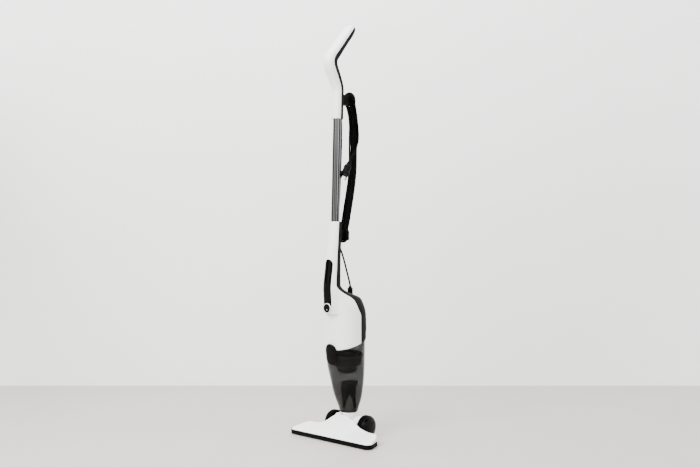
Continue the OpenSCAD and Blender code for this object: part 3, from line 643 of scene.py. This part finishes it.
# ------------------------------------------------------------------ inside the cup
ff = lathe("filter_skirt", [(37, 192.2), (38.6, 192), (39.3, 192.4), (39.5, 193.4), (39.5, 214.6), (40.2, 216), (45.8, 216), (46.5, 216.5), (46.5, 217.1), (46, 217.6), (31, 217.6), (31, 216), (37, 216)], MT(0, 5, 0), "upright", grey, n=96, closed=True)
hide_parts("filter_frame")
# pleated cartridge
n = 180; O, I = [], []
for q in range(13):
    u = q / 12; zz = 179.2 + 35 * u; r = 25.6 + 7.0 * u
    O.append([P((r - (1.4 if j % 2 else 0)) * sin(rad(2 * j)), 5.5 - (r - (1.4 if j % 2 else 0)) * cos(rad(2 * j)), zz) for j in range(n)])
    I.append([P((r - 4.2) * sin(rad(2 * j)), 5.5 - (r - 4.2) * cos(rad(2 * j)), zz) for j in range(n)])
v, f = skin(O, I, True)
fc = finish_mesh("pleated_filter", v, f, "upright", filt, angle=25)
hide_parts("filter_cartridge")
fcap = lathe("filter_end_cap", [(0, 168), (5, 168.15), (9, 168.5), (13, 169.2), (16, 170), (19, 171.2), (21.5, 172.6), (23.6, 174.2), (25, 175.8), (26, 177.4), (26.4, 179.1), (0, 179.1)], MT(0, 5.5, 0), "upright", gloss, n=96)
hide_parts("filter_cap")
seal = lathe("cup_gasket", [(34, 217.8), (39.6, 217.8), (40.5, 218.6), (39.9, 220.6), (39.9, 222.6), (40.5, 224.8), (39.8, 226.1), (34, 226.1)], MT(0, 5, 0), "upright", rubber, n=96, closed=True)
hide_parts("cup_seal")

# inlet duct: a lighter inner pipe in a dark hood with an arch cut into each side
pipe = lathe("inlet_pipe", [(16.55, 66.2), (19.1, 66.2), (19.2, 66.5), (19.2, 75.8), (17.8, 76.0), (17.8, 142.6), (17.4, 143), (16.55, 143)], MT(0, 14, 0), "upright", pipe_m, n=96, closed=True)
hood = lathe("duct_hood", [(17.85, 76.2), (19.2, 76.2), (19.2, 140.6), (18.9, 142.6), (18.2, 143), (17.85, 143)], MT(0, 14, 0), "upright", black, n=128, closed=True)
for s_ in (-1, 1):
    arch_p = [(-12.5, 70), (-12.5, 76.2), (-11.8, 82), (-10.3, 89), (-8.4, 96), (-6.0, 103), (-3.6, 109), (-1.6, 113), (0, 114.4), (1.6, 113), (3.6, 109), (6.0, 103), (8.4, 96), (10.3, 89), (11.8, 82), (12.5, 76.2), (12.5, 70)]
    c = prism("cutter", arch_p, 8, 30, MT(0, 14, 0, rz=s_ * 50) @ MT(0, 0, 0, rx=90), None, black, bevel=0)
    cut(hood, c)
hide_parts("inlet_duct")
for s_ in (-1, 1):
    rounded_box("duct_ear_%s" % ("l" if s_ < 0 else "r"), (s_ * 10.4 - 0.9, 29.2, 134), (s_ * 10.4 + 0.9, 38.2, 146.6), "upright", black, bevel=0.0006)

# ------------------------------------------------------------------ floor head
HW = 138.0


def hump_tab(i):
    return pchip([-61, -44, -28, -12], [q[i] for q in ((-61, 34, 26, 17, 17), (-44, 44, 29, 27.5, 24.2), (-28, 54, 26, 43, 29.4), (-12, 64, 22, 60, 35))])


h_wb, h_wt, h_zt, h_zf = hump_tab(1), hump_tab(2), hump_tab(3), hump_tab(4)
wing = pchip([-70, -67, -56, -40, -25, -12], [12, 14.2, 18, 22, 25.5, 28])


def half_w(y):
    """Half width of the plan at y, with rounded front corners and sides that taper to the rear."""
    if y < -56:
        return HW - 14 + math.sqrt(max(0, 14**2 - (-56 - y)**2))
    return HW - float(np.interp(y, [-56, -27, -20.6, -15.6, -12], [0, 10, 12.4, 16, 21.5]))


def head_z(x, y):
    base = wing(y)
    if y < -60.9:
        return base
    wb, wt, zt, zf = h_wb(y), h_wt(y), h_zt(y), h_zf(y)
    ax = abs(x)
    if ax <= wt:
        hz = zt - 0.5 * (ax / wt)**4
    elif ax <= wb:
        u = (ax - wt) / (wb - wt)
        u = 0.8 * u + 0.2 * u * u * (3 - 2 * u)
        hz = zt - 0.5 + (zf - zt + 0.5) * u
    elif ax <= wb + 28:
        u = (ax - wb) / 28
        hz = zf + (base - 1 - zf) * u
    else:
        hz = 0
    k = 1.6                                     # soft blend of wing and hump
    d = hz - base
    return base + (d + math.sqrt(d * d + k * k)) / 2 - 0.1


def edge_drop(x, y, R=5.5):
    d = min(y + 70, (half_w(y) - abs(x)) * 1.0)
    dr = (-12 - y)
    a = max(0.0, R - d); b = max(0.0, 1.6 - dr)
    return (R - math.sqrt(max(0, R * R - a * a))) * 0.8 + (1.6 - math.sqrt(max(0, 1.6**2 - b * b)))


def head_grid(ins):
    us = sorted(set([round(-1 + 2 * i / 150, 5) for i in range(151)] + [s * q for s in (-1, 1) for q in (0.9975, 0.993, 0.985, 0.975)]))
    ys = [-70, -69.7, -69.2, -68.4, -67.2, -65.6] + list(np.arange(-64, -14, 1.6)) + [-13.4, -12.8, -12.3, -12]
    rows = []
    zb = 8.5
    for k in range(len(us) + 2):
        u = us[0] if k == 0 else us[-1] if k == len(us) + 1 else us[k - 1]
        row = []
        for jj in range(len(ys) + 2):
            y = ys[0] if jj == 0 else ys[-1] if jj == len(ys) + 1 else ys[jj - 1]
            yy = min(max(y, -70 + ins), -12 - ins)
            x = (half_w(y) - ins) * u
            skirt = k in (0, len(us) + 1) or jj in (0, len(ys) + 1)
            zt = max(zb + 1.0 - (0.6 if ins else 0), head_z(x, yy) - edge_drop(x, y) - ins)
            row.append(P(x, yy, zb if skirt else zt))
        rows.append(row)
    return rows


v, f = skin(head_grid(0), head_grid(2.4))
head = finish_mesh("head_cover", v, f, "floor_head", white, angle=46)
c = lathe("cutter", [(0, 0), (16.5, 0), (16.5, 14), (0, 14)], MT(0, -20, 31, rx=-90), None, white, n=48)
cut(head, c)
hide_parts("head_top_shell")


def plan(o, n=10):
    r = 14.0; pts = []
    for i in range(n + 1):
        a = rad(90 * i / n); pts.append((-HW + r - (r + o) * cos(a), -70 + r - (r + o) * sin(a)))
    for i in range(n + 1):
        a = rad(90 * i / n); pts.append((HW - r + (r + o) * sin(a), -70 + r - (r + o) * cos(a)))
    return pts


def bumper(name, prof, mat, node, y_end=-22):
    """prof: closed outline (offset from the plan, z); swept round the front and the sides."""
    base = plan(0, 14)
    line = [(-half_w(y), y) for y in (y_end, -27, -35, -43, -51)] + base + [(half_w(y), y) for y in (-51, -43, -35, -27, y_end)]
    rings = []
    for i, (x, y) in enumerate(line):
        a = Vector(line[max(i - 1, 0)]); b = Vector(line[min(i + 1, len(line) - 1)])
        d = (b - a).normalized(); nrm = Vector((d.y, -d.x))
        sc_end = 1.0
        rings.append([P(x + nrm.x * o * sc_end, y + nrm.y * o * sc_end, z) for o, z in prof])
    v, f = solid_rings(rings)
    ob = finish_mesh(name, v, f, "floor_head", mat, angle=40)
    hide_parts(node)
    return ob


def rr(o0, o1, z0, z1, r=0.7):
    pts = []
    for cx, cz, a0 in ((o1 - r, z0 + r, -90), (o1 - r, z1 - r, 0), (o0 + 0.2, z1 - 0.2, 90), (o0 + 0.2, z0 + 0.2, 180)):
        q = r if cx == o1 - r else 0.2
        for i in range(5):
            a = rad(a0 + 90 * i / 4); pts.append((cx + q * cos(a), cz + q * sin(a)))
    return pts


bumper("bumper_lower", rr(-0.6, 2.0, 2.2, 8.3), rubber, "bumper_strip")
bumper("bumper_upper", rr(0.1, 1.9, 8.75, 12.8, 0.8), rubber, "bumper_lip")

# cheeks that carry the pivot
def cheek_poly():
    pts = [(-11.8, 6), (-11.8, 35), (-8.2, 39.2), (-4, 43.5), (0.6, 47.8), (5, 51.5), (9, 54.8), (12.4, 56.4)]
    for i in range(13):
        a = rad(90 - 90 * i / 12); pts.append((16 + 21 * cos(a), 36 + 21 * sin(a)))
    return pts + [(37, 14), (30, 6)]


first = None
for s in (-1, 1):
    M = Matrix.Translation((s * 34.5 - 8.5, 0, 0)) @ Matrix(((0, 0, 1, 0), (1, 0, 0, 0), (0, 1, 0, 0), (0, 0, 0, 1)))
    ck = prism("cheek_%s" % ("l" if s < 0 else "r"), cheek_poly(), 0, 17, M, "floor_head", white, bevel=0.003, seg=5, angle=30)
    first = first or ck
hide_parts("pivot_cheeks")

# neck elbow: barrel, flared collar and spigot
nb = lathe("neck_barrel", [(0, -24), (21.6, -24), (22.7, -23.3), (23, -22), (23, 22), (22.7, 23.3), (21.6, 24), (0, 24)], MT(0, 20, 31, ry=90), "upright", white, n=96)
ns = lathe("neck_collar", [(13.5, 44), (15.5, 41), (17.2, 43), (20.5, 48), (22.4, 51.2), (23, 53.4), (23, 58.4), (22.4, 59), (22.4, 60), (23, 60.6), (23, 65), (22.6, 65.9), (16.4, 66), (16.4, 88), (13.5, 88)], MT(0, 14, 0), "upright", white, n=96, closed=True)
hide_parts("neck_elbow")
# thin black patch almost flush with the collar front: painted shade for the dark inside of a small slot; no opening is
# cut
neck_slot_shade_patch = rounded_box("neck_slot_painted_shade", (-6.2, -9.2, 60.8), (0.4, -7.4, 63.6), "upright", black, bevel=0.0003)
sealn = lathe("neck_gasket", [(19.5, 66), (22.2, 66), (22.6, 66.5), (22.6, 67.5), (22.2, 68), (19.5, 68)], MT(0, 14, 0), "upright", rubber, n=80, closed=True)
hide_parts("neck_seal")

# wheels: ribbed tyre, plain turned hub, domed cap
WR = 31.0
for s, side in ((-1, "left"), (1, "right")):
    M = Matrix.Translation((s * 48, 20, 31)) @ Matrix.Rotation(rad(s * 90), 4, "Y")
    body = side + "_wheel_set"
    n = 192; prof = [(26, 0), (29.2, 0), (30.4, 0.5), (31, 1.6), (31, 13.6), (30.5, 15.2), (29.2, 16), (26, 16)]
    vs, fs = [], []
    for (r, h) in prof:
        for j in range(n):
            tread = 0.0 if (j % 8) < 5 or r < 30.3 else 0.75
            t = 2 * math.pi * j / n
            p = M @ Vector(((r - tread) * cos(t), (r - tread) * sin(t), h)); vs.append(P(*p))
    m = len(prof)
    for k in range(m):
        for j in range(n):
            fs.append((k * n + j, k * n + (j + 1) % n, ((k + 1) % m) * n + (j + 1) % n, ((k + 1) % m) * n + j))
    ty = finish_mesh(side + "_tread", vs, fs, body, tyre_m, angle=30)
    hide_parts(side + "_tyre")
    hub = lathe(side + "_hub", [(3.06, 0), (9, 0), (9.4, 1.2), (11, 1.6), (22.5, 1.6), (24, 0.6), (26, 0.6), (26, 16), (9, 16), (9, 18.5), (3.06, 18.5)], M, body, black, n=96, closed=True)
    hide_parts(side + "_wheel")
    cap = lathe(side + "_dome", [(9.2, 16), (27.6, 16), (28.6, 16.4), (29, 17.2), (28.6, 18.2), (26, 20), (22, 21.7), (17, 23), (10, 24.1), (0, 24.4), (0, 20.2), (9.2, 20.2)], M, body, gloss, n=96)
    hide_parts(side + "_wheel_cap")

# ------------------------------------------------------------------ cord hooks, rounded
def hook_poly(d, h, tip):
    """Side view of a tongue with a raised tip: y along the tongue, z up."""
    return [(0, -h), (d - 6, -h + 1), (d - 1.2, -h + 7), (d, -2), (d, tip - 2), (d - 0.8, tip - 0.4), (d - 2, tip), (d - 3.4, tip - 0.6), (d - 4, tip - 2.4), (d - 4.6, 8.9), (d - 6, 8.5), (0, 8.5)]


def hook(name, w, d, h, tip, M, node):
    F = M @ Matrix(((0, 0, 1, -w / 2), (1, 0, 0, 0), (0, 1, 0, 0), (0, 0, 0, 1)))
    ob = prism(name, hook_poly(d, h, tip), 0, w, F, "upright", black, bevel=0.0022, seg=4, angle=40)
    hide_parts(node)
    return ob


hook("hook_upper", 17, 43.5, 18, 13.5, MT(0, -14.7, 899), "upper_cord_hook")
hook("hook_lower", 17, 33, 14, 13.5, MT(0, -26.2, 536, ry=180), "lower_cord_hook")

# ------------------------------------------------------------------ finishes for the CAD pieces that stay
keep = {
    "head_base_plate": black, "brush_strips": bristle, "suction_channel": black, "glide_pads": felt, "wheel_axles": steel,
    "duct_flap": rubber, "flap_pin": steel, "motor_plate": grey, "motor_mount_ring": rubber, "fan_cover": alloy, "fan_wheel": alloy,
    "motor_shaft": steel, "motor_rotor": copper, "motor_stator": steel, "motor_end_frame": alloy, "exhaust_filter": foam,
    "switch_block": black, "latch_pin": steel, "latch_mount": white, "hook_screws": steel,
}
for node, mat in keep.items():
    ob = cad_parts[node]
    ob.data.materials.clear() if len(ob.data.materials) == 0 else None
    if ob.material_slots:
        for s_ in ob.material_slots:
            s_.material = mat
    else:
        ob.data.materials.append(mat)

# bristle tufts under the head
bm = bmesh.new()
for row in (-57.8, -30.8):
    for i in range(96):
        x = -95 + i * 2.0
        for q in range(4):
            dx, dy = random.uniform(-0.5, 0.5), random.uniform(-0.8, 0.8)
            r = 0.16
            x0, y0_, z1, z0 = x + dx, row + dy, 3.4, 0.25
            vs = [bm.verts.new(P(x0 + r * cos(a) + (dx * 0.4 if z == z0 else 0), y0_ + r * sin(a) + (dy * 0.3 if z == z0 else 0), z)) for z in (z1, z0) for a in (0, 2.09, 4.19)]
            for k in range(3):
                bm.faces.new((vs[k], vs[(k + 1) % 3], vs[3 + (k + 1) % 3], vs[3 + k]))
            bm.faces.new((vs[3], vs[4], vs[5])); bm.faces.new((vs[2], vs[1], vs[0]))
bmesh.ops.recalc_face_normals(bm, faces=bm.faces)
me = bpy.data.meshes.new("bristle_tufts"); bm.to_mesh(me); bm.free()
me.materials.append(bristle)
tufts = bpy.data.objects.new("bristle_tufts", me); sc.collection.objects.link(tufts)
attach(tufts, "floor_head")

# ------------------------------------------------------------------ stage and light


def stage_mat(name, color, rough, scale, vary):
    return material(name, color, rough=rough, bump=0.05, bump_scale=scale, vary=vary, noise=3.0, rough_var=0.05)


def plane(name, pts, mat):
    me = bpy.data.meshes.new(name); me.from_pydata(pts, [], [(0, 1, 2, 3)])
    me.materials.append(mat)
    ob = bpy.data.objects.new(name, me); sc.collection.objects.link(ob)
    return ob


floor_m = stage_mat("floor_pale", (0.44, 0.405, 0.375), 0.5, 400, 0.03)
wall_m = stage_mat("wall_pale", (0.86, 0.865, 0.855), 0.8, 400, 0.01)
plane("floor", [(-6, -6, 0), (6, -6, 0), (6, 6, 0), (-6, 6, 0)], floor_m)
# backdrop square to the camera
fw = Vector((-sin(AZ), cos(AZ), 0)); rt = Vector((cos(AZ), sin(AZ), 0)); base = fw * 0.75
plane("backdrop", [tuple(base - rt * 6), tuple(base + rt * 6), tuple(base + rt * 6 + Vector((0, 0, 4))), tuple(base - rt * 6 + Vector((0, 0, 4)))], wall_m)

# dark cards beside the camera, which the polished pole reflects as streaks
card_m = material("card_dark", (0.01, 0.01, 0.01), rough=0.9, bump=0.05, bump_scale=300, vary=0.1, spec=0.05)
for ci, (a0, a1, dist) in enumerate(((0, 0, 0), (50, 84, 1.6), (-112, -74, 1.5), (6, 26, 2.9), (-36, -22, 2.6))):
    pts = []
    for ang in (a0, a1):
        d = -(fw * cos(rad(ang)) - rt * sin(rad(ang)))
        pts.append(Vector((0, 0, 0)) + d * dist)
    q = [tuple(pts[0] + Vector((0, 0, 0.45))), tuple(pts[1] + Vector((0, 0, 0.45))), tuple(pts[1] + Vector((0, 0, 1.15))), tuple(pts[0] + Vector((0, 0, 1.15)))]
    if ci > 0:
        plane("card_%d" % ci, q, card_m)

w = bpy.data.worlds.new("studio"); sc.world = w
w.use_nodes = True
bg = w.node_tree.nodes["Background"]; bg.inputs["Color"].default_value = (0.97, 0.985, 1.0, 1); bg.inputs["Strength"].default_value = 2.3


def area(name, loc, target, size, power, color=(1, 1, 1), sy=None):
    d = bpy.data.lights.new(name, "AREA"); d.shape = "RECTANGLE"; d.size = size; d.size_y = sy or size
    d.energy = power; d.color = color
    o = bpy.data.objects.new(name, d); sc.collection.objects.link(o)
    o.location = loc
    o.rotation_euler = (Vector(target) - Vector(loc)).to_track_quat("-Z", "Y").to_euler()
    return o


c0 = Vector((0, 0, 0.55))
area("key", c0 - fw * 1.9 - rt * 1.7 + Vector((0, 0, 1.7)), c0, 1.6, 190, (1.0, 0.99, 0.97))
area("fill", c0 - fw * 1.6 + rt * 2.2 + Vector((0, 0, 0.8)), c0, 1.2, 40, (0.95, 0.98, 1.0))
area("top", c0 + Vector((0, 0, 2.2)) - fw * 0.3, c0, 1.6, 60)
